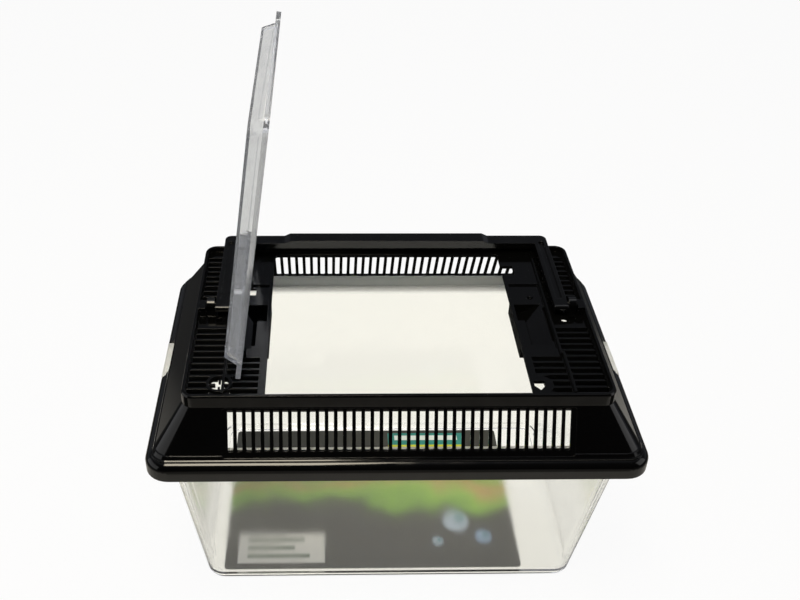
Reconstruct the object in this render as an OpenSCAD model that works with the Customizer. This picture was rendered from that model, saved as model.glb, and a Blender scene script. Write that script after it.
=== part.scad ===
// Small plastic pet keeper: a clear tapered tank, a black vented lid that drops
// over its rim, a clear hinged feeding hatch, a folding bail handle, and a loose
// care leaflet on the floor. The origin is the middle of the standing face, +Z is up.

/* [Tank] */
// Height of the tank to the top of its rim
tank_h = 98.5; // [80:0.1:130]
// Outer width of the tank at its foot
base_w = 190.4; // [180:0.1:215]
// Outer depth of the tank at its foot
base_d = 114.3; // [108:0.1:130]
// Angle by which every wall of the tank flares outwards
flare = 7.1; // [5:0.1:9]
// Thickness of the tank's walls
tank_wall = 2; // [1.4:0.1:2.6]
// Thickness of the tank's floor
floor_t = 2.4; // [1.6:0.1:3.2]
// Radius of the tank's upright corners at the foot
foot_corner_r = 9.5; // [9:0.5:15]
// Radius of the tank's upright corners at the rim
rim_corner_r = 12; // [11:0.5:20]
// Roundness of the tank's lowest edge
foot_edge_r = 1.4; // [0.6:0.1:2]
// Height of the standing ring under the floor
foot_h = 1; // [0.6:0.1:2]
// Width of the standing ring
foot_w = 4; // [3:0.5:8]
// Reach of the lip outside the rim at the front and back
lip_w = 5.4; // [3:0.1:7]
// Reach of the lip outside the rim at the two ends
lip_end_w = 6.2; // [3:0.1:7]
// Radius of the lip's corners
lip_corner_r = 10.5; // [9:0.5:18]
// Thickness of the lip
lip_t = 1.8; // [1.4:0.1:2.6]
// Height of the thin collar that stands up inside the lid
collar_h = 5.5; // [3:0.1:6]
// Thickness of the collar
collar_t = 1.6; // [1.2:0.1:2]
// Clearance between the collar and the lid
collar_clear = 0.5; // [0.3:0.1:0.8]

/* [Lid shell] */
// Height of the skirt that drops over the tank's lip
skirt_h = 9.1; // [7:0.1:14]
// Thickness of the skirt and the shoulder
lid_wall = 1.8; // [1.4:0.1:2.4]
// Thickness of the sloping walls
slope_wall = 1.4; // [1.2:0.1:2]
// Clearance between the tank's lip and the skirt
lip_clear = 0.4; // [0.2:0.05:0.8]
// Roundness of the skirt's upper edge
skirt_edge = 1.4; // [0.6:0.1:2]
// Width of the flat shoulder between the skirt and the slope
shoulder_w = 3; // [2.4:0.1:5]
// Size of the blend where the slope meets the shoulder
slope_blend = 1.1; // [0.5:0.1:2]
// Height of the sloping walls up to the top rim
slope_h = 28.9; // [24:0.1:40]
// Height of the upright band between the slopes and the top of the rim
band_h = 6.4; // [5:0.1:9]
// Run of the sloping walls at the two ends
slope_run_x = 14.9; // [10:0.1:20]
// Run of the sloping walls at the front and back
slope_run_y = 11.6; // [8:0.1:16]
// Outer corner radius of the top rim
top_corner_r = 6; // [5.5:0.5:12]
// Thickness of the thin rim around the deck
rim_t = 1.7; // [1.2:0.1:2.5]
// Depth of the deck below the top of its rim
deck_drop = 2.9; // [2.2:0.1:4]
// Thickness of the deck
deck_t = 1.8; // [1.6:0.1:2.6]

/* [Vent slots] */
// Number of upright slots in the front wall, and again in the back wall
slot_count = 38; // [20:1:40]
// Spacing of the upright slots
slot_pitch = 4.11; // [3.6:0.01:4.3]
// Width of an upright slot
slot_w = 2.45; // [1.5:0.05:2.8]
// Height of the slots' lower ends above the shoulder
slot_foot = 4.2; // [3.4:0.1:9]
// Depth of the slots' upper ends below the upright band
slot_head = 1; // [0.9:0.1:3]
// Depth of the shallow panel that the slots lie in
panel_depth = 0.2; // [0.1:0.1:0.3]
// Margin of the panel beside its slots
panel_margin = 2.6; // [1.5:0.1:3.5]

/* [Deck] */
// Width of the deck on each side of the feeding opening
side_deck_w = 35.6; // [34.6:0.1:38]
// Width of the ledge between the front rim and the feeding opening
front_ledge = 1.8; // [1.2:0.1:4]
// Width of the ledge between the back rim and the feeding opening
back_ledge = 3; // [2:0.1:8]
// Reach of the notch in the opening's right edge
edge_notch_w = 6.4; // [4:0.1:8]
// Length of that notch
edge_notch_l = 8; // [6:0.1:10]
// Distance from the back ledge to the middle of that notch
edge_notch_set = 15.4; // [10:0.1:18]
// Spacing of the grille slots
grille_pitch = 4.5; // [4:0.1:5.5]
// Width of a grille slot
grille_slot = 2.3; // [1.8:0.1:2.8]
// Length of the outer grille slots
grille_l = 14.6; // [12:0.1:15]
// Length of the inner grille slots
inner_grille_l = 13.2; // [10:0.1:14]
// Number of rows in the outer grilles, from front to back
grille_rows = 25; // [20:1:25]
// Number of rows in the inner grilles, counted from the front
inner_rows = 6; // [4:1:6]
// Distance from the opening to each divider rail
rail_set = 18; // [17:0.1:19]
// Width of the divider rails
rail_w = 1; // [0.8:0.1:1.6]
// Height of the divider rails
rail_h = 1.2; // [0.8:0.1:1.8]
// Depth of the shallow tray beside the opening
side_tray_depth = 0.9; // [0.5:0.1:1.2]
// Length of the finger wells
well_l = 33.4; // [24:0.1:36]
// Depth of the finger wells
well_depth = 6; // [4.5:0.1:8]
// Thickness of the finger wells' walls
well_wall = 1.6; // [1.2:0.1:2]
// Distance from the deck's end to the middle of the air-line port
port_set_x = 14.7; // [13:0.1:16]
// Distance from the deck's front to the middle of the air-line port
port_set_y = 10.3; // [8:0.1:12]
// Outer radius of the air-line port's ring
port_ring_r = 6; // [5.6:0.1:7]
// Radius of the air-line port
port_r = 4.8; // [4:0.1:5.2]
// Length of the fingers that grip the air line
port_finger_l = 3; // [2.5:0.1:3.4]
// Width of the small five-sided key hole
key_hole_w = 5; // [4:0.1:6]

/* [Finger notches] */
// Length of the finger notch at each end of the lid
notch_l = 28; // [20:0.5:36]
// Depth of the finger notch into the foot of the slope
notch_in = 1.4; // [1:0.1:4]
// Corner radius of the finger notch
notch_r = 3; // [2:0.1:3.4]
// Distance of the finger notches in front of the handle's pivot
notch_set = 3.3; // [0:0.1:6]
// Clearance between the tank's thumb tab and the notch
tab_clear = 0.4; // [0.3:0.05:0.8]

/* [Hatch] */
// Angle at which the hatch stands open
open_angle = 82; // [75:1:86]
// Thickness of the hatch's flange
flange_t = 2.2; // [1.8:0.1:2.4]
// Distance from the opening's edge to the hinge line
hinge_set = 12.55; // [12:0.05:14]
// Length of the two hinge tabs from the hinge line to the flange
tab_l = 8.6; // [7:0.1:10]
// Width of a hinge tab
tab_w = 13; // [11:0.5:16]
// Overlap of the flange past the opening's free edge
free_lap = 1.2; // [0.8:0.1:1.4]
// Overlap of the flange behind the opening
back_lap = 0.5; // [0.4:0.1:0.9]
// Clearance between the flange and the front rim
flange_gap = 0.5; // [0.3:0.1:1]
// Corner radius of the flange
flange_r = 3; // [2:0.5:4]
// Height of the raised window above the flange
window_h = 5.9; // [4:0.1:6]
// Inset of the raised window's foot from the flange's edge
window_foot = 3.4; // [3.2:0.1:5]
// Inset of the raised window's flat face from the flange's edge
window_top = 6; // [5.5:0.1:9]
// Thickness of the raised window
window_t = 1.5; // [1.2:0.1:2]
// Corner radius of the raised window
window_r = 4; // [3:0.5:6]
// Radius of the hinge rod along the hatch's edge
rod_r = 1.2; // [1.15:0.05:1.4]
// Running clearance of the hinge rod in its clips
rod_clear = 0.05; // [0.02:0.01:0.09]
// Clearance between the hinge rod and the deck
rod_lift = 0.1; // [0.05:0.05:0.3]
// Distance of each hinge clip from the middle of the lid
clip_y = 27.7; // [24:0.1:32]
// Width of a hinge clip
clip_w = 3; // [2:0.1:4]
// Wall of a hinge clip around the rod
clip_wall = 1.1; // [0.8:0.1:1.3]
// Width of the window in a hinge tab around its clip
clip_window = 7; // [6:0.1:8]
// Length of the core hole beside each clip
core_w = 12.4; // [6:0.1:13]
// Width of the core hole beside each clip
core_l = 5.4; // [2:0.1:6]

/* [Handle] */
// Thickness of the handle
handle_t = 3.2; // [3.1:0.1:4]
// Width of the handle's arms
arm_w = 7; // [5:0.1:7.4]
// Width of the handle's crossbar
bar_w = 8; // [7:0.1:10]
// Outer corner radius of the handle
handle_r = 3.4; // [2:0.1:5]
// Distance from the top rim's outer edge to the middle of the crossbar
bar_set = 0.9; // [0.8:0.1:4]
// Length of the raised grip
grip_l = 111; // [80:1:120]
// Height of the raised grip
grip_h = 1.5; // [0.8:0.1:2.5]
// Width of the channel along the arms
channel_w = 3; // [2:0.1:4]
// Depth of the channel along the arms
channel_d = 1; // [0.5:0.1:1.5]
// Distance of the handle's pivot behind the middle of the lid
pivot_y = 5.2; // [3:0.1:8]
// Distance from the pivot to the arms' front ends
arm_nose = 4.8; // [4:0.1:4.8]
// Radius of the pivot pins
pin_r = 1.5; // [1.1:0.1:1.55]
// Running clearance of the pivot pins
pin_clear = 0.05; // [0.02:0.01:0.09]
// Clearance between the arms and the lugs
lug_gap = 0.4; // [0.3:0.1:0.8]
// Thickness of the pivot lugs
lug_t = 3.8; // [3:0.1:4.2]
// Distance from the pivot lugs to the deck's rim
lug_set = 4.4; // [2.8:0.1:5]
// Wall of a pivot lug around its pin
lug_wall = 1.9; // [1.4:0.1:2.4]
// Gap between the folded handle and the top rim
rest_gap = 0.1; // [0.05:0.05:0.5]

/* [Leaflet] */
// Width of the leaflet
leaflet_w = 156; // [120:1:160]
// Gap between the leaflet's front edge and the tank's wall
leaflet_front = 1.6; // [1.4:0.1:10]
// Gap between the leaflet's back edge and the tank's wall
leaflet_back = 5.6; // [1.4:0.1:10]
// Thickness of the folded leaflet
leaflet_t = 0.4; // [0.3:0.1:1]
// Gap between the leaflet's left edge and the tank's wall
leaflet_gap = 6.6; // [5:0.1:12]
// Corner radius of the leaflet
leaflet_r = 2; // [1:0.5:4]

/* [Hidden] */

$fn = 48;
cut = 1;
skin = 0.02;
hull_fn = 32;

// Heights
lid_z = tank_h - (skirt_h - lid_wall);
shoulder_z = lid_z + skirt_h;
rim_z = shoulder_z + slope_h;
deck_z = rim_z - deck_drop;
deck_under = deck_z - deck_t;
band_z = rim_z - band_h;
slot_z0 = shoulder_z + slot_foot;
slot_z1 = band_z - slot_head;
slot_end_r = 0.6;
panel_gap = 0.5;
groove_set = 0.4;
rim_round = rim_t / 4;
inner_floor = foot_h + floor_t;

// Plan sizes of the lid
flare_out = tank_h * tan(flare);
lip_half_x = base_w / 2 + flare_out + lip_end_w;
lip_half_y = base_d / 2 + flare_out + lip_w;
lid_half_x = lip_half_x + lip_clear + lid_wall;
lid_half_y = lip_half_y + lip_clear + lid_wall;
foot_half_x = lid_half_x - shoulder_w;
foot_half_y = lid_half_y - shoulder_w;
top_half_x = foot_half_x - slope_run_x;
top_half_y = foot_half_y - slope_run_y;
deck_half_x = top_half_x - rim_t;
deck_half_y = top_half_y - rim_t;
skirt_corner_r = lip_corner_r + lip_clear + lid_wall - skirt_edge;
slope_foot_r = skirt_corner_r - shoulder_w;
tilt_x = atan(slope_run_x / (slope_h - band_h));
tilt_y = atan(slope_run_y / (slope_h - band_h));
wall_run_x = slope_wall / cos(tilt_x);
wall_run_y = slope_wall / cos(tilt_y);

// Feeding opening and what lies beside it
opening_x = deck_half_x - side_deck_w;
opening_front = -(deck_half_y - front_ledge);
opening_back = deck_half_y - back_ledge;
opening_d = opening_back - opening_front;
opening_r = 2;
rail_x = opening_x + rail_set;
rail_jog = 1.2;
rail_jog_y = -28.8;
rail_end_gap = 3;
grille_end_gap = 1.8;
grille_x = deck_half_x - grille_l / 2 - grille_end_gap;
grille_front_gap = 0.85;
grille_front = -(deck_half_y - grille_front_gap) + grille_pitch;
grille_gap_front = -7.3;
grille_gap_back = 10.7;
rail_side_gap = 0.2;
inner_grille_x = rail_x - rail_w - inner_grille_l / 2 - rail_side_gap;
side_tray_front = -24.8;
side_tray_back = 29.2;
side_tray_lip = 1.6;
side_tray_x0 = opening_x + side_tray_lip;
side_tray_x1 = rail_x - rail_w;
well_x0 = opening_x + well_wall;
well_gap = 2.6;
well_x1 = rail_x - well_gap;
well_floor_w = 5.4;
well_ramp_x = well_x0 + well_floor_w;
well_y = -4.5;
gap_slot_w = 1.4;
gap_slot_l = 28;
boss_r = 1.5;
boss_h = 0.7;
boss_set = 6.6;
boss_x = rail_x - boss_set;
boss_y = 18.8;
port_x = -(deck_half_x - port_set_x);
port_y = -(deck_half_y - port_set_y);
port_ring_h = 0.9;
port_finger_w = 1;
key_set = 3.8;
key_x = opening_x + key_set;
key_drop = 1;
key_y = port_y - key_drop;
key_boss_r = 6.4;
vent_hole_r = 1.9;
vent_hole_set = 10.7;
vent_hole_x = deck_half_x - vent_hole_set;
vent_hole_y = -1.8;
socket_w = 3.4;
socket_l = 5;
socket_set = 6.6;
socket_y = pivot_y - socket_set;

// Hinge of the hatch
hinge_x = -(opening_x + hinge_set);
hinge_z = deck_z + rod_r + rod_lift;
hatch_l = hinge_set + 2 * opening_x + free_lap;
hatch_front = -(deck_half_y - flange_gap);
hatch_back = opening_back + back_lap;
hatch_d = hatch_back - hatch_front;
clip_r = rod_r + rod_clear + clip_wall;
clip_window_l = tab_l - 2 * rod_r;
clip_mouth = 1.5 * rod_r;
core_x = hinge_x - 2;
core_y = clip_y - (clip_w + core_l) / 2;

// Pivot of the handle
lug_x1 = deck_half_x - lug_set;
lug_x0 = lug_x1 - lug_t;
arm_x1 = lug_x0 - lug_gap;
arm_x0 = arm_x1 - arm_w;
handle_z = rim_z + rest_gap;
pivot_z = handle_z + handle_t / 2;
lug_r = pin_r + pin_clear + lug_wall;
bar_y1 = top_half_y + bar_set + bar_w / 2;
bar_y0 = bar_y1 - bar_w;
channel_y = (pivot_y + bar_y0) / 2 + 2;
arch_h = 5;
arch_bore_r = 1.4;
arch_l = 7;
arch_gap = 0.8;
arch_y = pivot_y - 0.5;

// Outer width, depth and corner radius of the tank at height z
function tank_w(z) = base_w + 2 * z * tan(flare);
function tank_d(z) = base_d + 2 * z * tan(flare);
function tank_r(z) = foot_corner_r + (rim_corner_r - foot_corner_r) * z / tank_h;
// Half width and half depth of the lid's slopes at height z
function slope_x(z) = top_half_x + max(0, band_z - z) * tan(tilt_x);
function slope_y(z) = top_half_y + max(0, band_z - z) * tan(tilt_y);
// Half width and half depth of the lid's hollow at height z
function hollow_x(z) = slope_x(z) - wall_run_x;
function hollow_y(z) = slope_y(z) - wall_run_y;
// Distance from the middle of the lid to the middle of its finger notches
function notch_y() = pivot_y - notch_set;

// Rounded rectangle about the origin
module plate(w, d, r) {
    square([w, d - 2 * r], center = true);
    square([w - 2 * r, d], center = true);
    for (sx = [-1, 1], sy = [-1, 1])
        translate([sx * (w / 2 - r), sy * (d / 2 - r)]) circle(r);
}

// Slot with round ends, l long along X and w wide
module slot(l, w) {
    square([l - w, w], center = true);
    for (s = [-1, 1])
        translate([s * (l - w) / 2, 0]) circle(w / 2, $fn = 24);
}

// Rounded slab from height z, paper-thin unless h is given: a section for a hull
module section(w, d, r, z, h = skin) {
    translate([0, 0, z]) linear_extrude(h) plate(w, d, r, $fn = hull_fn);
}

// Section of the tank, inset from its outer face
module tank_section(z, inset) {
    section(tank_w(z) - 2 * inset, tank_d(z) - 2 * inset, tank_r(z) - inset, z);
}

// Lip around the rim, with a thumb tab at each end
module lip_outline() {
    plate(2 * lip_half_x, 2 * lip_half_y, lip_corner_r);
    tab_l = notch_l - 2 * tab_clear;
    tab_w = 2 * (lid_half_x - tab_clear);
    translate([0, notch_y()]) square([tab_w, tab_l], center = true);
}

// Thin collar on the rim, open at the two finger notches
module collar() {
    half_x = hollow_x(tank_h + collar_h) - collar_clear;
    half_y = hollow_y(tank_h + collar_h) - collar_clear;
    gap_l = notch_l + 2 * lid_wall + 2 * collar_clear;
    corner_r = slope_foot_r - slope_wall;
    translate([0, 0, tank_h - lip_t]) linear_extrude(lip_t + collar_h) difference() {
        plate(2 * half_x, 2 * half_y, corner_r);
        plate(2 * (half_x - collar_t), 2 * (half_y - collar_t), corner_r - collar_t);
        translate([0, notch_y()]) square([2 * half_x + cut, gap_l], center = true);
    }
}

module tank() {
    color([0.86, 0.92, 0.95, 0.45]) union() {
        difference() {
            union() {
                hull() {
                    tank_section(0, foot_edge_r);
                    tank_section(foot_edge_r * 0.3, foot_edge_r * 0.3);
                    tank_section(foot_edge_r, 0);
                    tank_section(tank_h - skin, 0);
                }
                translate([0, 0, tank_h - lip_t]) linear_extrude(lip_t) lip_outline();
            }
            hull() {
                tank_section(inner_floor, tank_wall + foot_edge_r);
                tank_section(inner_floor + foot_edge_r, tank_wall);
                tank_section(tank_h + cut, tank_wall);
            }
            translate([0, 0, -cut]) linear_extrude(cut + foot_h)
                plate(base_w - 2 * foot_w, base_d - 2 * foot_w, foot_corner_r - foot_w);
        }
        collar();
    }
}

// Outside of the lid: skirt with a rounded edge, shoulder and sloping walls
module lid_outside() {
    hull() {
        section(2 * lid_half_x, 2 * lid_half_y, skirt_corner_r, lid_z, skirt_h - skirt_edge);
        lid_edge_section(0.3, 0.7);
        lid_edge_section(1, 1);
    }
    hull() {
        section(2 * (foot_half_x + slope_blend), 2 * (foot_half_y + slope_blend),
            slope_foot_r, shoulder_z - skin);
        section(2 * slope_x(shoulder_z + slope_blend), 2 * slope_y(shoulder_z + slope_blend),
            slope_foot_r, shoulder_z + slope_blend);
    }
    hull() {
        section(2 * foot_half_x, 2 * foot_half_y, slope_foot_r, shoulder_z - skin);
        section(2 * top_half_x, 2 * top_half_y, top_corner_r, band_z, band_h - 2 * rim_round);
        section(2 * (top_half_x - rim_round), 2 * (top_half_y - rim_round), top_corner_r - rim_round,
            rim_z - skin);
    }
}

// Section of the skirt's rounded upper edge: part_in of its inset, part_up of its height
module lid_edge_section(part_in, part_up) {
    inset = skirt_edge * part_in;
    section(2 * (lid_half_x - inset), 2 * (lid_half_y - inset), skirt_corner_r - inset,
        shoulder_z - skirt_edge * (1 - part_up) - skin);
}

// Hollow of the lid below its deck, and the shallow well above the deck
module lid_hollows() {
    translate([0, 0, lid_z - cut]) linear_extrude(cut + skirt_h - lid_wall)
        plate(2 * (lid_half_x - lid_wall), 2 * (lid_half_y - lid_wall), lip_corner_r + lip_clear);
    hull() {
        section(2 * hollow_x(tank_h), 2 * hollow_y(tank_h), slope_foot_r - slope_wall, tank_h - skin);
        section(2 * hollow_x(band_z), 2 * hollow_y(band_z), top_corner_r - rim_t, band_z,
            deck_under - band_z);
    }
    translate([0, 0, deck_z]) linear_extrude(deck_drop + cut)
        plate(2 * deck_half_x, 2 * deck_half_y, top_corner_r - rim_t);
}

// Outlines of one row of vent slots, drawn upright
module slot_row() {
    for (i = [0 : slot_count - 1])
        translate([(i - (slot_count - 1) / 2) * slot_pitch, (slot_z0 + slot_z1) / 2])
            plate(slot_w, slot_z1 - slot_z0, slot_end_r, $fn = 20);
}

// Rows of upright slots. The back row passes straight through its wall. The front row is
// cut from outside back to an upright face, which leaves a groove above each slot.
module vent_rows() {
    wall_y = top_half_y - wall_run_y - cut;
    translate([0, foot_half_y + cut, 0]) rotate([90, 0, 0])
        linear_extrude(foot_half_y + cut - wall_y) slot_row();
    translate([0, -top_half_y - groove_set, 0]) rotate([90, 0, 0])
        linear_extrude(slope_run_y + cut) slot_row();
}

// Shallow panels on the front and back slopes that the slots lie in
module vent_panels() {
    row_l = (slot_count - 1) * slot_pitch + slot_w;
    low_z = shoulder_z + slope_blend + panel_gap;
    high_z = band_z - panel_gap;
    mid_z = (low_z + high_z) / 2;
    tall = (high_z - low_z) / cos(tilt_y);
    for (side = [0, 1]) mirror([0, side, 0])
        translate([0, -slope_y(mid_z), mid_z]) rotate([90 - tilt_y, 0, 0])
            translate([0, 0, -panel_depth]) linear_extrude(panel_depth + cut)
                plate(row_l + 2 * panel_margin, tall, panel_margin / 2);
}

// Rows of grille slots beside the opening
module grille_outline() {
    for (row = [0 : grille_rows - 1]) {
        y = grille_front + row * grille_pitch;
        if (y < grille_gap_front || y > grille_gap_back)
            for (s = [-1, 1]) translate([s * grille_x, y]) slot(grille_l, grille_slot);
        if (row < inner_rows)
            for (s = [-1, 1]) translate([s * inner_grille_x, y]) slot(inner_grille_l, grille_slot);
    }
}

// Five-sided key hole that points to the front
module key_outline() {
    half = key_hole_w / 2;
    polygon([[-half, half], [-half, -half * 0.4], [0, -half * 1.6], [half, -half * 0.4], [half, half]]);
}

// Everything that passes straight down through the deck
module deck_holes() {
    difference() {
        grille_outline();
        translate([port_x, port_y]) circle(port_ring_r);
        translate([key_x, key_y]) circle(key_boss_r);
    }
    translate([0, (opening_front + opening_back) / 2]) plate(2 * opening_x, opening_d, opening_r);
    translate([opening_x, opening_back - edge_notch_set])
        square([2 * edge_notch_w, edge_notch_l], center = true);
    difference() {
        translate([port_x, port_y]) circle(port_r);
        for (turn = [0 : 90 : 270]) translate([port_x, port_y]) rotate(turn)
            translate([port_r - port_finger_l, -port_finger_w / 2])
                square([port_finger_l + cut, port_finger_w]);
    }
    translate([key_x, key_y]) key_outline();
    for (s = [-1, 1]) {
        translate([s * vent_hole_x, vent_hole_y]) circle(vent_hole_r);
        translate([s * (lug_x0 + socket_w / 2), socket_y]) square([socket_w, socket_l], center = true);
        translate([s * (rail_x - rail_w / 2 - gap_slot_w / 2 - rail_side_gap), well_y])
            rotate(90) slot(gap_slot_l, gap_slot_w);
        translate([core_x, s * core_y]) square([core_w, core_l], center = true);
    }
}

// Finger wells beside the opening: the body under the deck, or the scoop cut from it
module well_body() {
    for (s = [0, 1]) mirror([s, 0, 0])
        translate([opening_x, well_y - well_l / 2 - well_wall, deck_z - well_depth - well_wall])
            cube([
                well_x1 + well_wall - opening_x,
                well_l + 2 * well_wall,
                well_depth + well_wall - deck_t / 2
            ]);
}

module well_scoop() {
    for (s = [0, 1]) mirror([s, 0, 0])
        translate([0, well_y + well_l / 2, deck_z]) rotate([90, 0, 0]) linear_extrude(well_l)
            polygon([
                [well_x0, cut], [well_x0, -well_depth], [well_ramp_x, -well_depth],
                [well_x1, -side_tray_depth], [well_x1, cut]
            ]);
}

// Walls of the finger notch that close it off from the inside of the tank
module notch_wall() {
    x0 = foot_half_x - notch_in - lid_wall;
    z0 = tank_h;
    z1 = shoulder_z + (notch_in + lid_wall / 2) / tan(tilt_x);
    span = notch_l + 2 * lid_wall;
    for (s = [0, 1]) mirror([s, 0, 0])
        translate([0, notch_y() + span / 2, 0]) rotate([90, 0, 0]) linear_extrude(span)
            polygon([[x0, z0], [foot_half_x, z0], [foot_half_x, shoulder_z], [slope_x(z1), z1], [x0, z1]]);
}

module notch_cut() {
    reach = lid_half_x - foot_half_x + notch_in + cut;
    for (s = [0, 1]) mirror([s, 0, 0])
        translate([foot_half_x - notch_in, notch_y(), lid_z - cut])
            linear_extrude(rim_z - lid_z) {
                translate([notch_r, -notch_l / 2]) square([reach - notch_r, notch_l]);
                translate([0, notch_r - notch_l / 2]) square([reach, notch_l - 2 * notch_r]);
                for (side = [-1, 1])
                    translate([notch_r, side * (notch_l / 2 - notch_r)]) circle(notch_r);
            }
}

// Clips that hold the hatch's hinge rod, open at the top
module clips() {
    for (s = [-1, 1]) translate([hinge_x, s * clip_y, 0])
        difference() {
            union() {
                translate([0, clip_w / 2, hinge_z]) rotate([90, 0, 0]) cylinder(r = clip_r, h = clip_w);
                translate([-clip_r, -clip_w / 2, deck_under])
                    cube([2 * clip_r, clip_w, hinge_z - deck_under]);
            }
            translate([0, clip_w / 2 + cut, hinge_z]) rotate([90, 0, 0])
                cylinder(r = rod_r + rod_clear, h = clip_w + 2 * cut);
            translate([-clip_mouth / 2, -clip_w / 2 - cut, hinge_z])
                cube([clip_mouth, clip_w + 2 * cut, clip_r + cut]);
        }
}

// Lugs that carry the handle's pins, and the low arch outside each of them
module lugs() {
    for (s = [0, 1]) mirror([s, 0, 0]) {
        difference() {
            union() {
                translate([lug_x0, pivot_y, pivot_z]) rotate([0, 90, 0]) cylinder(r = lug_r, h = lug_t);
                translate([lug_x0, pivot_y - lug_r, deck_under])
                    cube([lug_t, 2 * lug_r, pivot_z - deck_under]);
            }
            translate([lug_x0 - cut, pivot_y, pivot_z]) rotate([0, 90, 0])
                cylinder(r = pin_r + pin_clear, h = lug_t + 2 * cut);
        }
        arch_w = deck_half_x - lug_x1 - arch_gap;
        difference() {
            translate([lug_x1 + arch_gap, arch_y - arch_l / 2, deck_under])
                cube([arch_w + skin, arch_l, arch_h + deck_t]);
            translate([lug_x1, arch_y, deck_z + arch_bore_r]) rotate([0, 90, 0])
                cylinder(r = arch_bore_r, h = arch_w + arch_gap);
        }
    }
}

// Rails, port ring, key boss and small bosses that stand on the deck
module deck_trim() {
    back_y = deck_half_y - rail_end_gap;
    for (s = [0, 1]) mirror([s, 0, 0]) {
        translate([rail_x - rail_w / 2, rail_jog_y, deck_under])
            cube([rail_w, back_y - rail_jog_y, deck_t + rail_h]);
        translate([rail_x - rail_w / 2, -back_y, deck_under])
            translate([rail_jog, 0, 0]) cube([rail_w, rail_jog_y + back_y, deck_t + rail_h]);
        translate([rail_x - rail_w / 2, rail_jog_y - rail_w, deck_under])
            cube([rail_w + rail_jog, rail_w, deck_t + rail_h]);
    }
    translate([boss_x, boss_y, deck_under]) cylinder(r = boss_r, h = deck_t - side_tray_depth + boss_h);
    translate([port_x, port_y, deck_under]) linear_extrude(deck_t + port_ring_h)
        difference() {
            circle(port_ring_r);
            circle(port_r);
        }
}

// Shallow trays beside the opening, between the grilles and the back ledge
module side_trays() {
    for (s = [0, 1]) mirror([s, 0, 0])
        translate([side_tray_x0, side_tray_front, deck_z - side_tray_depth])
            cube([side_tray_x1 - side_tray_x0, side_tray_back - side_tray_front, side_tray_depth + cut]);
}

module lid() {
    color([0.07, 0.07, 0.08])
    union() {
        difference() {
            union() {
                difference() {
                    lid_outside();
                    lid_hollows();
                }
                well_body();
                notch_wall();
            }
            side_trays();
            well_scoop();
            notch_cut();
            vent_rows();
            vent_panels();
            translate([0, 0, deck_under - cut]) linear_extrude(deck_t + 2 * cut) deck_holes();
        }
        deck_trim();
        clips();
        lugs();
    }
}

// Raised window of the hatch, inset on all sides and raised by up
module window_form(inset, up, z0) {
    hull() {
        for (step = [[window_foot, z0], [window_top, flange_t / 2 + up - skin]])
            translate([(tab_l + hatch_l) / 2, (hatch_front + hatch_back) / 2, 0])
                section(hatch_l - tab_l - 2 * (step[0] + inset), hatch_d - 2 * (step[0] + inset),
                    window_r, step[1]);
    }
}

// Plan of the hatch's flange and its two hinge tabs, each with a window around its clip
module flange_outline() {
    translate([(tab_l + hatch_l) / 2, (hatch_front + hatch_back) / 2])
        plate(hatch_l - tab_l, hatch_d, flange_r);
    for (s = [-1, 1]) translate([0, s * clip_y]) difference() {
        translate([0, -tab_w / 2]) square([tab_l + flange_r, tab_w]);
        translate([-rod_r, -clip_window / 2]) square([rod_r + clip_window_l, clip_window]);
    }
}

// Hatch lying closed, its hinge line on the Y axis
module hatch_flat() {
    difference() {
        union() {
            translate([0, 0, -flange_t / 2]) linear_extrude(flange_t) flange_outline();
            window_form(0, window_h, 0);
        }
        window_form(window_t, window_h - window_t, -flange_t);
    }
    for (s = [-1, 1])
        translate([0, s * clip_y + tab_w / 2, 0]) rotate([90, 0, 0]) cylinder(r = rod_r, h = tab_w);
}

module hatch() {
    color([0.9, 0.94, 0.97, 0.45])
        translate([hinge_x, 0, hinge_z]) rotate([0, -open_angle, 0]) hatch_flat();
}

// Plan of the handle: a U that opens to the front
module handle_outline() {
    nose = pivot_y - arm_nose + handle_t / 2;
    difference() {
        union() {
            translate([0, (bar_y1 + nose) / 2]) plate(2 * arm_x1, bar_y1 - nose, handle_r);
            for (s = [-1, 1]) translate([s * (arm_x0 + arm_x1) / 2, nose + handle_r])
                square([arm_w, 2 * handle_r], center = true);
        }
        translate([-arm_x0, nose - cut]) square([2 * arm_x0, bar_y0 - nose + cut]);
    }
}

module handle() {
    nose = pivot_y - arm_nose + handle_t / 2;
    color([0.08, 0.08, 0.09])
    difference() {
        union() {
            translate([0, 0, handle_z]) linear_extrude(handle_t) handle_outline();
            for (s = [0, 1]) mirror([s, 0, 0]) {
                translate([arm_x0, nose, pivot_z]) rotate([0, 90, 0])
                    cylinder(r = handle_t / 2, h = arm_w);
                translate([arm_x1 - cut, pivot_y, pivot_z]) rotate([0, 90, 0])
                    cylinder(r = pin_r, h = lug_gap + lug_t + cut);
            }
            translate([0, bar_y1, handle_z + handle_t]) rotate([90, 0, 0]) linear_extrude(bar_w)
                polygon([
                    [-grip_l / 2, -cut], [-grip_l / 2, 0], [-grip_l / 2 + 2 * grip_h, grip_h],
                    [grip_l / 2 - 2 * grip_h, grip_h], [grip_l / 2, 0], [grip_l / 2, -cut]
                ]);
        }
        for (s = [-1, 1])
            translate([s * (arm_x0 + arm_x1) / 2, channel_y, handle_z + handle_t - channel_d])
                linear_extrude(channel_d + cut) rotate(90) slot(bar_y0 - pivot_y, channel_w);
    }
}

module leaflet() {
    inner_half = base_w / 2 - tank_wall;
    leaflet_d = base_d - 2 * tank_wall - leaflet_front - leaflet_back;
    color([0.3, 0.36, 0.24])
        translate([leaflet_gap - inner_half + leaflet_w / 2, (leaflet_front - leaflet_back) / 2, inner_floor])
            linear_extrude(leaflet_t) plate(leaflet_w, leaflet_d, leaflet_r);
}

tank();
lid();
hatch();
handle();
leaflet();
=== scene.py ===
"""A small clear pet keeper with a black vented lid, an open feeding hatch and a folded handle."""
import math

import bmesh
import bpy
from mathutils import Matrix, Vector


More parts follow.
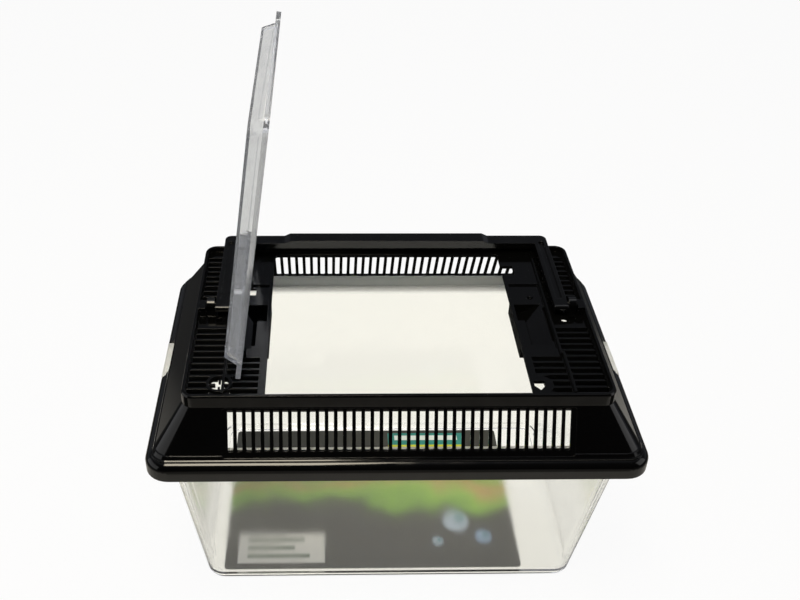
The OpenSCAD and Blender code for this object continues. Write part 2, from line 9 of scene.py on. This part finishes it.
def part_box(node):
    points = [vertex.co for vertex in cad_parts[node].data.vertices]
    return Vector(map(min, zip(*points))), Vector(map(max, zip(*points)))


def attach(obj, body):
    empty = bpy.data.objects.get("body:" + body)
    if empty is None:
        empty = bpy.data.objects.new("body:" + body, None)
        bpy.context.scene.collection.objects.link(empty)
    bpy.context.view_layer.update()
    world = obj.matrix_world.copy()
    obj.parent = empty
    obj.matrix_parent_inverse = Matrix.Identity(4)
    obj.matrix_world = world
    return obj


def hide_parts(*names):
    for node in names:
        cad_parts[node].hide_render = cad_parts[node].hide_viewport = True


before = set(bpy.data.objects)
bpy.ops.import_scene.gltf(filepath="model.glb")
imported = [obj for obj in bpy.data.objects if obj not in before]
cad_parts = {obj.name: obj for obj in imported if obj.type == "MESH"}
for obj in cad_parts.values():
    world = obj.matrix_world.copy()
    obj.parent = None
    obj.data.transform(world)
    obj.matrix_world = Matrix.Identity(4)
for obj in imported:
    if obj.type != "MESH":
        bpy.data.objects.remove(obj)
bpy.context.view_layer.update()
MM = 0.001

# Mesh settings: points closer than the weld are one, and flatter edges than the crease are smooth
WELD_MM = 0.002
CREASE_DEGREES = 20
CORNER_STEPS = 18
ARC_STEPS = 9

# Camera, in degrees and millimetres: it looks along +Y, turned by yaw, tipped by pitch
CAMERA_PLACE = (-32.7, -392.5, 417.0)
CAMERA_YAW = 1.67
CAMERA_PITCH = 35.48
CAMERA_ROLL = 0.83
CAMERA_LENS = 44.23
CAMERA_SHIFT = 0.0625

# The lid's deck, in millimetres: its surfaces, its two kinds of grille and the rails between them
DECK_TOP = 126.3
DECK_UNDER = 124.5
DECK_HALF_X = 96.27
GRILLE_FRONT = -55.37
GRILLE_PITCH = 4.5
GRILLE_SLOT = 3.2
OUTER_ROWS = 25
INNER_ROWS = 6
PLAIN_FRONT = -7.3
PLAIN_BACK = 10.7
RAIL_SIDE = 79.3
RAIL_JOG = 1.2
RAIL_JOG_Y = -28.8
INNER_SIDE = 64.0
SPAN_END = 0.4
SHORTEST_SPAN = 1.0
CUT_BELOW = 1.0
CUT_ABOVE = 0.6
PORT = (-81.57, -50.42, 6.2)
KEY_BOSS = (64.47, -51.42, 6.4)

# Ribs under the deck, in millimetres. The short ones are (low x, high x, low y, high y): beside each
# finger well, behind each pivot lug, and at the left vent
RIB = 1.0
RIB_DROP = 1.9
RIB_END = 0.9
RIB_BITE = 0.05
WELL_RIB = (76.4, 78.9, -19.5, 10.5)
LUG_RIB = (87.9, 91.8, -4.2, 1.4)
VENT_RIB = (-87.7, -83.5, -3.9, 0.3)

# The lid's skirt, in millimetres: its upper edge is rounded almost to the foot of the slopes
SHOULDER_Z = 100.3
SKIRT_CORNER = 11.3
SKIRT_ROUND = 4.4
SHOULDER_RUN = 2.8

# The lid's slopes, in millimetres: they end below an upright band round the rim
SHOULDER_W = 3.0
SLOPE_RUN_X = 14.9
SLOPE_RUN_Y = 11.6
SLOPE_START = 0.12
BAND_Z = 122.8
RIM_Z = 129.2
BAND_TOP = RIM_Z - 0.8
SLOPE_FOOT_R = 9.0
BAND_R = 5.6
BAND_CUT = 4.0

# Where the finish changes, in millimetres: within the box below (half x, half y, top z), faces whose
# normals rise less than LOOKS_UP get a dull, barely reflecting finish, as do all that fall past
# LOOKS_DOWN:
# painted shade. The tank turns satin from SATIN_FOOT, and is fully so at SATIN_Z, with a pale veil
# there that is painted glow. FAR is a long way for light, in bounces
PAINTED_SHADE_BOX = (96.3, 62.0, RIM_Z + 0.3)
LOOKS_UP = 0.4
LOOKS_DOWN = -0.15
SATIN_Z = 97.2
SATIN_FOOT = SATIN_Z - 4
FAR = 4.5

# The white sheet that the gloss mirrors, in metres: where it gives way to the dark table at the
# sides and behind, and where it turns greyer in front
SHEET_SIDE = (0.15, 0.4)
SHEET_BACK = (0.06, 0.2)
SHEET_FRONT = (-0.2, -0.175)


def linear(hex_colour):
    """An sRGB hex colour as linear red, green, blue and alpha."""
    parts = [int(hex_colour[i:i + 2], 16) / 255 for i in (1, 3, 5)]
    return [c / 12.92 if c <= 0.04045 else ((c + 0.055) / 1.055) ** 2.4 for c in parts] + [1.0]


def add(tree, kind, settings=None, links=None):
    """Adds a node: settings are its properties and socket values, links its inputs' sources."""
    made = tree.nodes.new(kind)
    for name, value in (settings or {}).items():
        if isinstance(name, int) or name in made.inputs:
            made.inputs[name].default_value = value
        else:
            setattr(made, name, value)
    for name, source in (links or {}).items():
        tree.links.new(source, made.inputs[name])
    return made


def ramp(tree, source, stops):
    """A colour ramp over source, with stops as (place, hex colour)."""
    made = add(tree, "ShaderNodeValToRGB", links={"Fac": source})
    bands = made.color_ramp.elements
    while len(bands) < len(stops):
        bands.new(0.5)
    for band, (place, colour) in zip(bands, stops):
        band.position = place
        band.color = linear(colour)
    return made.outputs["Color"]


def new_material(name):
    """An empty material's node tree, with its output node and object coordinates."""
    material = bpy.data.materials.new(name)
    material.use_nodes = True
    tree = material.node_tree
    tree.nodes.clear()
    place = add(tree, "ShaderNodeTexCoord").outputs["Object"]
    output = add(tree, "ShaderNodeOutputMaterial")
    return material, tree, place, output


def noise(tree, place, size_mm, detail=3.0):
    """Noise whose lumps are about size_mm across."""
    settings = {"Scale": 1 / (size_mm * MM), "Detail": detail}
    return add(tree, "ShaderNodeTexNoise", settings, {"Vector": place}).outputs["Fac"]


def spread(tree, source, from_low, from_high, to_low, to_high):
    """Maps source from one range to another, held at both ends."""
    reach = {"From Min": from_low, "From Max": from_high, "To Min": to_low, "To Max": to_high}
    return add(tree, "ShaderNodeMapRange", reach, {"Value": source}).outputs["Result"]


def maths(tree, operation, first, second):
    """One maths node: each of first and second is a number or a socket."""
    pair = {0: first, 1: second}
    numbers = {k: v for k, v in pair.items() if isinstance(v, (int, float))}
    sockets = {k: v for k, v in pair.items() if k not in numbers}
    return add(tree, "ShaderNodeMath", {"operation": operation, **numbers}, sockets).outputs[0]


def over(tree, mask, below, above):
    """Lays the colour above on below where mask is 1: each is a hex colour or a socket."""
    pair = {6: below, 7: above}
    plain = {k: linear(v) for k, v in pair.items() if isinstance(v, str)}
    sockets = {k: v for k, v in pair.items() if k not in plain}
    return add(tree, "ShaderNodeMix", {"data_type": "RGBA", **plain}, {0: mask, **sockets}).outputs[2]


def black_moulding(name, colours, low, high, edge_mm, grain_mm, grain, painted_shade_box=None):
    """Injection-moulded black polystyrene. The mould's polish varies from low to high roughness,
    a faint flow texture bends the reflections, and every edge has the tool's small radius. The
    real flow texture is near 0.1 mm, too fine to show, so it is drawn grain_mm wide. Inside
    the box given as the last argument, faces that don't look up get a dull, barely reflecting finish,
    as
    does any face that looks down: painted shade that keeps recesses and undersides dark."""
    material, tree, place, output = new_material(name)
    polish = spread(tree, noise(tree, place, size_mm=9.0), 0.35, 0.65, low, high)
    edge = add(tree, "ShaderNodeBevel", {"samples": 6, "Radius": edge_mm * MM})
    flow = add(tree, "ShaderNodeBump", {"Strength": grain, "Distance": 0.02 * MM},
               {"Height": noise(tree, place, grain_mm), "Normal": edge.outputs["Normal"]})
    shade = ramp(tree, noise(tree, place, size_mm=30.0), [(0.3, colours[0]), (0.7, colours[1])])
    skin = add(tree, "ShaderNodeBsdfPrincipled", {"IOR": 1.5},
               {"Base Color": shade, "Roughness": polish, "Normal": flow.outputs["Normal"]})
    # Painted shade: faces in the box that don't look up, and every face that looks down, get a dull,
    # barely reflecting finish that keeps them dark.
    if painted_shade_box:
        painted_shade_finish = add(tree, "ShaderNodeBsdfPrincipled", {"Roughness": 0.75, "IOR": 1.15},
                  {"Base Color": shade})
        normal = add(tree, "ShaderNodeNewGeometry").outputs["Normal"]
        facing = add(tree, "ShaderNodeSeparateXYZ", links={0: normal}).outputs["Z"]
        mask = maths(tree, "LESS_THAN", facing, LOOKS_UP)
        axes = add(tree, "ShaderNodeSeparateXYZ", links={0: place})
        for axis, reach in zip("XY", painted_shade_box):
            off = maths(tree, "ABSOLUTE", axes.outputs[axis], 0.0)
            mask = maths(tree, "MULTIPLY", mask, maths(tree, "LESS_THAN", off, reach * MM))
        below = maths(tree, "LESS_THAN", axes.outputs["Z"], painted_shade_box[2] * MM)
        mask = maths(tree, "MULTIPLY", mask, below)
        mask = maths(tree, "MAXIMUM", mask, maths(tree, "LESS_THAN", facing, LOOKS_DOWN))
        skin = add(tree, "ShaderNodeMixShader", links={0: mask, 1: skin.outputs[0], 2: painted_shade_finish.outputs[0]})
    tree.links.new(skin.outputs[0], output.inputs["Surface"])
    return material


def clear_moulding(name, tint, low, high, wave, veil, veil_tint, depth_tint, density, satin=False):
    """Clear crystal polystyrene: faint moulding waves bend what is seen through it, fine scuffs
    lay a pale veil over it in soft patches, because single scuffs are too fine to show, and its
    colour gathers along the long way through its edges. Where satin is set the plastic turns rough
    round the rim, and a pale veil there is painted glow that makes the rim look lit. Past FAR bounces
    a ray passes straight through, faintly tinted, to the white backdrop: a painted highlight that
    keeps the cut edges bright."""
    material, tree, place, output = new_material(name)
    polish = spread(tree, noise(tree, place, size_mm=14.0), 0.35, 0.65, low, high)
    if satin:
        height = add(tree, "ShaderNodeSeparateXYZ", links={0: place}).outputs["Z"]
        frost_and_glow = spread(tree, height, SATIN_FOOT * MM, SATIN_Z * MM, 0.0, 1.0)
        polish = maths(tree, "MAXIMUM", polish, maths(tree, "MULTIPLY", frost_and_glow, 0.75))
    waves = add(tree, "ShaderNodeBump", {"Strength": wave, "Distance": 0.05 * MM},
                {"Height": noise(tree, place, size_mm=25.0, detail=1.0)})
    clear = add(tree, "ShaderNodeBsdfPrincipled",
                {"Base Color": linear(tint), "Transmission Weight": 1.0, "IOR": 1.5},
                {"Roughness": polish, "Normal": waves.outputs["Normal"]})
    scuffs = add(tree, "ShaderNodeBsdfPrincipled", {"Base Color": linear(veil_tint), "Roughness": 0.4})
    lumps = noise(tree, place, size_mm=6.0, detail=6.0)
    part = spread(tree, lumps, 0.3, 0.7, veil * 0.7, veil * 1.3)
    # Painted glow: towards the rim a pale veil is laid over the plastic.
    if satin:
        part = maths(tree, "ADD", part, maths(tree, "MULTIPLY", frost_and_glow, 0.3))
    both = add(tree, "ShaderNodeMixShader", links={0: part, 1: clear.outputs[0], 2: scuffs.outputs[0]})
    # Painted highlight: past FAR bounces the plastic lets rays straight through to the white backdrop,
    # which keeps the cut edges bright.
    far = maths(tree, "GREATER_THAN", add(tree, "ShaderNodeLightPath").outputs["Ray Depth"], FAR)
    leak = add(tree, "ShaderNodeBsdfTransparent", {"Color": linear("#eef0f6")})
    whole = add(tree, "ShaderNodeMixShader", links={0: far, 1: both.outputs[0], 2: leak.outputs[0]})
    body = add(tree, "ShaderNodeVolumeAbsorption", {"Color": linear(depth_tint), "Density": density})
    tree.links.new(whole.outputs[0], output.inputs["Surface"])
    tree.links.new(body.outputs["Volume"], output.inputs["Volume"])
    return material


def printed_card(name):
    """Coated card with its own plain print: meadow greens over a dark foot, pale bubbles,
    a white note panel with green rules, and a teal and yellow flash near the back. The coating
    gives it a low sheen, and a grey line of painted shade marks a fold across its middle. Its fibres
    are too fine to show, so its tooth is drawn 0.7 mm wide. Places are in millimetres."""
    material, tree, place, output = new_material(name)
    bubbles = ((38, -22, 7.0, "#b4c6d8"), (52, -33, 4.4, "#8fadcf"), (27, -36, 3.0, "#a4b9c8"))
    note = (-80, -34, -50, -30)
    rule_left, rule_rights, rule_foot, rule_step, rule_height = -75, (-42, -50, -45), -46.5, 5.5, 2.5
    flash, flash_middle, flash_foot = (4, 50, 37, 47), (8, 46, 41, 45), (4, 50, 31.5, 37)
    back_edge = (-90, 80, 16, 60)
    fold = (-90, 80, -2.2, -1.8)
    axes = add(tree, "ShaderNodeSeparateXYZ", links={0: place})
    x = maths(tree, "MULTIPLY", axes.outputs["X"], 1 / MM)
    y = maths(tree, "MULTIPLY", axes.outputs["Y"], 1 / MM)

    def between(source, low, high):
        """1 where source lies between low and high."""
        middle, half = (low + high) / 2, (high - low) / 2
        settings = {"operation": "COMPARE", 1: middle, 2: half}
        return add(tree, "ShaderNodeMath", settings, {0: source}).outputs[0]

    def box(x0, x1, y0, y1):
        """1 inside an upright rectangle."""
        return maths(tree, "MULTIPLY", between(x, x0, x1), between(y, y0, y1))

    def disc(x0, y0, radius):
        """1 inside a disc."""
        away = maths(tree, "ADD", maths(tree, "POWER", maths(tree, "SUBTRACT", x, x0), 2.0),
                     maths(tree, "POWER", maths(tree, "SUBTRACT", y, y0), 2.0))
        return maths(tree, "LESS_THAN", away, radius * radius)

    rolling = maths(tree, "MULTIPLY", noise(tree, place, size_mm=38.0, detail=2.0), 46.0)
    height = maths(tree, "ADD", y, rolling)
    field = ramp(tree, spread(tree, height, 0.0, 66.0, 0.0, 1.0), [
        (0.0, "#2b2c25"), (0.18, "#34362a"), (0.25, "#74a624"), (0.36, "#9ad03c"), (0.46, "#c89c58"),
        (0.55, "#88c038"), (0.68, "#b4a852"), (0.84, "#4f5c30"), (1.0, "#2c2e24")])
    dots = noise(tree, place, size_mm=1.6, detail=4.0)
    speckle = ramp(tree, dots, [(0.3, "#8a8a80"), (0.7, "#ffffff")])
    grain = add(tree, "ShaderNodeMix", {"data_type": "RGBA", "blend_type": "MULTIPLY", 0: 0.45},
                {6: field, 7: speckle}).outputs[2]
    art = over(tree, box(*back_edge), grain, "#33342c")
    for x0, y0, radius, colour in bubbles:
        art = over(tree, disc(x0, y0, radius), art, colour)
        art = over(tree, disc(x0 + radius * 0.3, y0 + radius * 0.3, radius * 0.45), art, "#5b8fa0")
    art = over(tree, box(*note), art, "#ecece6")
    for row, right in enumerate(rule_rights):
        foot = rule_foot + row * rule_step
        art = over(tree, box(rule_left, right, foot, foot + rule_height), art, "#6f7f6a")
    art = over(tree, box(*flash), art, "#2b8a80")
    art = over(tree, box(*flash_middle), art, "#e6efec")
    art = over(tree, box(*flash_foot), art, "#d3d92e")
    # Painted shade: a grey line where the card is folded.
    art = over(tree, maths(tree, "MULTIPLY", box(*fold), 0.5), art, "#8c8e86")
    pulp = add(tree, "ShaderNodeBump", {"Strength": 0.2, "Distance": 0.02 * MM},
               {"Height": noise(tree, place, size_mm=0.7)})
    card = add(tree, "ShaderNodeBsdfPrincipled", {"Roughness": 0.45, "IOR": 1.45},
               {"Base Color": art, "Normal": pulp.outputs["Normal"]})
    tree.links.new(card.outputs[0], output.inputs["Surface"])
    return material


def white_stage(name, shadow_part):
    """A white paper sheet on a dark table: seen directly or through clear plastic it is white,
    with only shadow_part of its shading. The lid's gloss mirrors the sheet and the table."""
    material, tree, place, output = new_material(name)
    axes = add(tree, "ShaderNodeSeparateXYZ", links={0: place})
    aside = spread(tree, maths(tree, "ABSOLUTE", axes.outputs["X"], 0.0), *SHEET_SIDE, 1.0, 0.0)
    behind = spread(tree, axes.outputs["Y"], *SHEET_BACK, 1.0, 0.0)
    near = ramp(tree, noise(tree, place, size_mm=40.0), [(0.0, "#dadada"), (1.0, "#e2e2e2")])
    front = spread(tree, axes.outputs["Y"], *SHEET_FRONT, 1.0, 0.0)
    grain = over(tree, front, near, "#8c8c8c")
    cover = over(tree, maths(tree, "MULTIPLY", aside, behind), "#3c3e42", grain)
    paper = add(tree, "ShaderNodeBsdfPrincipled", {"Roughness": 0.9}, {"Base Color": cover})
    ray = add(tree, "ShaderNodeLightPath")
    warm = over(tree, ray.outputs["Is Transmission Ray"], "#ffffff", "#fffdf3")
    glow = add(tree, "ShaderNodeEmission", {"Strength": 1.0}, {"Color": warm})
    seen = maths(tree, "MAXIMUM", ray.outputs["Is Camera Ray"], ray.outputs["Is Transmission Ray"])
    white = add(tree, "ShaderNodeBsdfPrincipled", {"Roughness": 0.9, "Base Color": linear("#f4f4f4")})
    under = add(tree, "ShaderNodeMixShader", links={0: seen, 1: paper.outputs[0], 2: white.outputs[0]})
    part = maths(tree, "MULTIPLY", seen, 1 - shadow_part)
    both = add(tree, "ShaderNodeMixShader", links={0: part, 1: under.outputs[0], 2: glow.outputs[0]})
    tree.links.new(both.outputs[0], output.inputs["Surface"])
    return material


def dress(part, material):
    """Gives a piece its finish and smooth shading across its curved faces."""
    part.data.materials.clear()
    part.data.materials.append(material)
    for face in part.data.polygons:
        face.use_smooth = True
    weld = part.modifiers.new("weld", "WELD")
    weld.merge_threshold = WELD_MM * MM
    split = part.modifiers.new("crease", "EDGE_SPLIT")
    split.split_angle = math.radians(CREASE_DEGREES)
    flat = part.modifiers.new("flat faces", "WEIGHTED_NORMAL")
    flat.keep_sharp = True


def new_piece(name, form):
    """Turns a bmesh into an object of the scene."""
    mesh = bpy.data.meshes.new(name)
    form.to_mesh(mesh)
    form.free()
    made = bpy.data.objects.new(name, mesh)
    bpy.context.scene.collection.objects.link(made)
    return made


def add_box(form, low, high):
    """Adds a closed box from its low to its high corner, in millimetres."""
    for vert in bmesh.ops.create_cube(form, size=1.0)["verts"]:
        vert.co = Vector([(a + b) / 2 + c * (b - a) for c, a, b in zip(vert.co, low, high)]) * MM


def free_stretches(x0, x1, y, half, discs):
    """The stretches of a row at y, half wide to each side, that miss the discs (x, y, radius)."""
    left = [(x0, x1)]
    for disc_x, disc_y, radius in discs:
        away = max(0.0, abs(y - disc_y) - half)
        if away < radius:
            reach = math.sqrt(radius ** 2 - away ** 2)
            before = [(a, min(b, disc_x - reach)) for a, b in left]
            beyond = [(max(a, disc_x + reach), b) for a, b in left]
            left = sorted(before + beyond)
    return [(a, b) for a, b in left if b - a > SHORTEST_SPAN]


def grille_lines(offset, half):
    """Every grille slot, or with an offset of half a pitch every bar: its y and its x stretches."""
    for row in range(OUTER_ROWS):
        y = GRILLE_FRONT + row * GRILLE_PITCH + offset
        rail = RAIL_SIDE + (RAIL_JOG if y < RAIL_JOG_Y else 0.0)
        spans = []
        if y < PLAIN_FRONT or y > PLAIN_BACK:
            spans.append((rail, DECK_HALF_X - SPAN_END))
        if row < INNER_ROWS:
            spans.append((INNER_SIDE, RAIL_SIDE - SPAN_END))
        for a, b in spans:
            for x0, x1 in ((a, b), (-b, -a)):
                for stretch in free_stretches(x0, x1, y, half, (PORT, KEY_BOSS)):
                    yield y, stretch


def add_ring(form, section):
    """Adds a closed ring round the upright: each point of its section is a rounded rectangle,
    given as (half x, half y, corner radius, z) in millimetres."""
    rings = []
    for quarter, (side_x, side_y) in enumerate(((1, 1), (-1, 1), (-1, -1), (1, -1))):
        for i in range(CORNER_STEPS + 1):
            turn = math.radians(90 * (quarter + i / CORNER_STEPS))
            rings.append([form.verts.new(Vector((
                side_x * (half_x - corner) + corner * math.cos(turn),
                side_y * (half_y - corner) + corner * math.sin(turn), z)) * MM)
                for half_x, half_y, corner, z in section])
    for ring, after in zip(rings, rings[1:] + rings[:1]):
        for i, vert in enumerate(ring):
            j = (i + 1) % len(ring)
            form.faces.new((vert, ring[j], after[j], after[i]))


def skirt_round(half_x, half_y):
    """Section of what the skirt's round upper edge leaves out, for a lid of these half sizes."""
    last = math.acos(1 - SHOULDER_RUN / SKIRT_ROUND)
    past = 1.0
    points = [(-past, SHOULDER_Z + past), (-past, SHOULDER_Z - SKIRT_ROUND)]
    for i in range(ARC_STEPS + 1):
        t = last * i / ARC_STEPS
        points.append((SKIRT_ROUND * (1 - math.cos(t)), SHOULDER_Z - SKIRT_ROUND * (1 - math.sin(t))))
    points.append((SHOULDER_RUN, SHOULDER_Z + past))
    return [(half_x - inset, half_y - inset, SKIRT_CORNER - inset, z) for inset, z in points]


def rim_band(half_x, half_y):
    """Section of what lies outside the slopes and the upright band above them."""
    start_z = SHOULDER_Z + SLOPE_START * (BAND_Z - SHOULDER_Z)
    inner = []
    for t, z in ((SLOPE_START, start_z), (1.0, BAND_Z), (1.0, BAND_TOP)):
        x = half_x - SHOULDER_W - SLOPE_RUN_X * t
        y = half_y - SHOULDER_W - SLOPE_RUN_Y * t
        inner.append((x, y, SLOPE_FOOT_R + (BAND_R - SLOPE_FOOT_R) * t, z))
    outer = [(x + BAND_CUT, y + BAND_CUT, corner + BAND_CUT, z) for x, y, corner, z in reversed(inner)]
    return inner + outer


def finished_lid():
    """The lid with its fine forms: grilles opened to thin bars, the skirt's full round edge, and
    the upright band round the rim."""
    form = bmesh.new()
    form.from_mesh(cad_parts["lid"].data)
    bmesh.ops.remove_doubles(form, verts=form.verts, dist=WELD_MM * MM)
    lid = new_piece("lid_moulding", form)
    form = bmesh.new()
    for y, (x0, x1) in grille_lines(0.0, GRILLE_SLOT / 2):
        low = (x0, y - GRILLE_SLOT / 2, DECK_UNDER - CUT_BELOW)
        add_box(form, low, (x1, y + GRILLE_SLOT / 2, DECK_TOP + CUT_ABOVE))
    half_x, half_y = (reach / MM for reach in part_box("lid")[1][:2])
    for section in (skirt_round(half_x, half_y), rim_band(half_x, half_y)):
        add_ring(form, section)
    bmesh.ops.recalc_face_normals(form, faces=form.faces)
    cutter = new_piece("lid_cutter", form)
    cut = lid.modifiers.new("cut", "BOOLEAN")
    cut.operation = "DIFFERENCE"
    cut.solver = "EXACT"
    cut.object = cutter
    ready = lid.evaluated_get(bpy.context.evaluated_depsgraph_get())
    lid.data = bpy.data.meshes.new_from_object(ready)
    lid.modifiers.clear()
    bpy.data.objects.remove(cutter)
    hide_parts("lid")
    return lid


def deck_ribs():
    """Ribs that stiffen the deck from below: one under each grille bar, and a few short ones."""
    form = bmesh.new()
    low, high = DECK_UNDER - RIB_DROP, DECK_UNDER + RIB_BITE
    for y, (x0, x1) in grille_lines(GRILLE_PITCH / 2, RIB / 2):
        add_box(form, (x0 - RIB_END, y - RIB / 2, low), (x1 + RIB_END, y + RIB / 2, high))
    for x0, x1, y0, y1 in (WELL_RIB, LUG_RIB):
        add_box(form, (x0, y0, low), (x1, y1, high))
        add_box(form, (-x1, y0, low), (-x0, y1, high))
    x0, x1, y0, y1 = VENT_RIB
    add_box(form, (x0, y0, low), (x1, y1, high))
    return new_piece("deck_ribs", form)


def make_camera():
    """The camera, from the values at the top."""
    data = bpy.data.cameras.new("camera")
    camera = bpy.data.objects.new("camera", data)
    bpy.context.scene.collection.objects.link(camera)
    turn = (
        Matrix.Rotation(math.radians(-CAMERA_YAW), 4, "Z")
        @ Matrix.Rotation(math.radians(90 - CAMERA_PITCH), 4, "X")
        @ Matrix.Rotation(math.radians(CAMERA_ROLL), 4, "Z")
    )
    camera.matrix_world = Matrix.Translation(Vector(CAMERA_PLACE) * MM) @ turn
    data.sensor_width = 36
    data.lens = CAMERA_LENS
    data.shift_x = CAMERA_SHIFT
    data.clip_start = 0.01
    bpy.context.scene.camera = camera


def make_floor():
    """A square floor, reach metres to each side, just under the standing face."""
    reach = 3.0
    corners = [(-reach, -reach, 0), (reach, -reach, 0), (reach, reach, 0), (-reach, reach, 0)]
    mesh = bpy.data.meshes.new("floor")
    mesh.from_pydata(corners, [], [(0, 1, 2, 3)])
    floor = bpy.data.objects.new("floor", mesh)
    bpy.context.scene.collection.objects.link(floor)
    mesh.materials.append(white_stage("white paper on a dark table", shadow_part=0.06))
    floor.location.z = -0.0002


def area_light(name, place, target, size, power, colour="#ffffff"):
    """A soft light: its place, target and size are in metres, its power in watts."""
    data = bpy.data.lights.new(name, "AREA")
    data.shape = "RECTANGLE"
    data.size, data.size_y = size
    data.energy = power
    data.color = linear(colour)[:3]
    light = bpy.data.objects.new(name, data)
    bpy.context.scene.collection.objects.link(light)
    light.location = place
    light.rotation_mode = "QUATERNION"
    light.rotation_quaternion = (Vector(target) - Vector(place)).to_track_quat("-Z", "Y")


def make_lights():
    """The room: dark in front, dim and a little cool behind, lighter overhead. The warm key
    softbox draws the gloss line along the skirt's round, a fill hangs overhead, and a softbox at
    each side draws the slopes' corners."""
    world = bpy.data.worlds.new("studio")
    bpy.context.scene.world = world
    world.use_nodes = True
    tree = world.node_tree
    tree.nodes.clear()
    way = add(tree, "ShaderNodeTexCoord").outputs["Generated"]
    axes = add(tree, "ShaderNodeSeparateXYZ", links={0: way})
    up = axes.outputs["Z"]
    front = ramp(tree, up, [(0.0, "#1c1c1e"), (0.35, "#1c1d20"), (0.8, "#26282c"), (1.0, "#4c5058")])
    back = ramp(tree, up, [(0.0, "#74777e"), (0.25, "#6c6f76"), (0.5, "#484a50"), (0.7, "#56595f"),
                           (1.0, "#a4a8b0")])
    behind = spread(tree, axes.outputs["Y"], -0.35, 0.35, 0.0, 1.0)
    room = over(tree, behind, front, back)
    ray = add(tree, "ShaderNodeLightPath")
    seen = maths(tree, "MAXIMUM", ray.outputs["Is Camera Ray"], ray.outputs["Is Transmission Ray"])
    plain = add(tree, "ShaderNodeBackground", {"Strength": 1.0}, {"Color": room})
    white = add(tree, "ShaderNodeBackground", {"Color": linear("#ffffff"), "Strength": 1.0})
    both = add(tree, "ShaderNodeMixShader", links={0: seen, 1: plain.outputs[0], 2: white.outputs[0]})
    add(tree, "ShaderNodeOutputWorld", links={"Surface": both.outputs[0]})
    area_light("key softbox", (-0.18, -0.3, 1.15), (-0.1, -0.07, 0.1), (0.44, 0.5), 8.0, "#fff4dc")
    area_light("overhead fill", (0.0, 0.3, 1.5), (0, 0, 0.1), (1.3, 0.8), 2.0)
    area_light("left softbox", (-1.2, -0.25, 0.42), (0, 0, 0.12), (1.3, 0.8), 2.0)
    area_light("right softbox", (1.2, -0.3, 0.6), (0, 0, 0.12), (0.8, 0.9), 1.8)


make_camera()
make_floor()
make_lights()
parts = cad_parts
# The lid's gloss carries painted shade: a dull finish in its recesses and on every face that looks
# down.
gloss_black = black_moulding("glossy black polystyrene", ("#050505", "#080808"), low=0.07, high=0.14,
                             edge_mm=0.3, grain_mm=0.8, grain=0.12, painted_shade_box=PAINTED_SHADE_BOX)
satin_black = black_moulding("satin black polystyrene", ("#060606", "#090909"), low=0.16, high=0.24,
                             edge_mm=0.4, grain_mm=0.5, grain=0.12)
clear_tank = clear_moulding("clear polystyrene tank", "#fdfdfc", low=0.1, high=0.15, wave=0.05,
                            veil=0.015, veil_tint="#eceeec", depth_tint="#c4ccd8", density=2.0,
                            satin=True)
clear_hatch = clear_moulding("clear polystyrene hatch", "#f6f7fa", low=0.02, high=0.05, wave=0.1,
                             veil=0.13, veil_tint="#e8ecf4", depth_tint="#c0c8d4", density=2.0)
for piece in (finished_lid(), deck_ribs()):
    dress(piece, gloss_black)
    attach(piece, "lid")
dress(parts["handle"], satin_black)
dress(parts["tank"], clear_tank)
dress(parts["hatch"], clear_hatch)
dress(parts["leaflet"], printed_card("printed coated card"))

bpy.context.scene.view_settings.view_transform = "Standard"
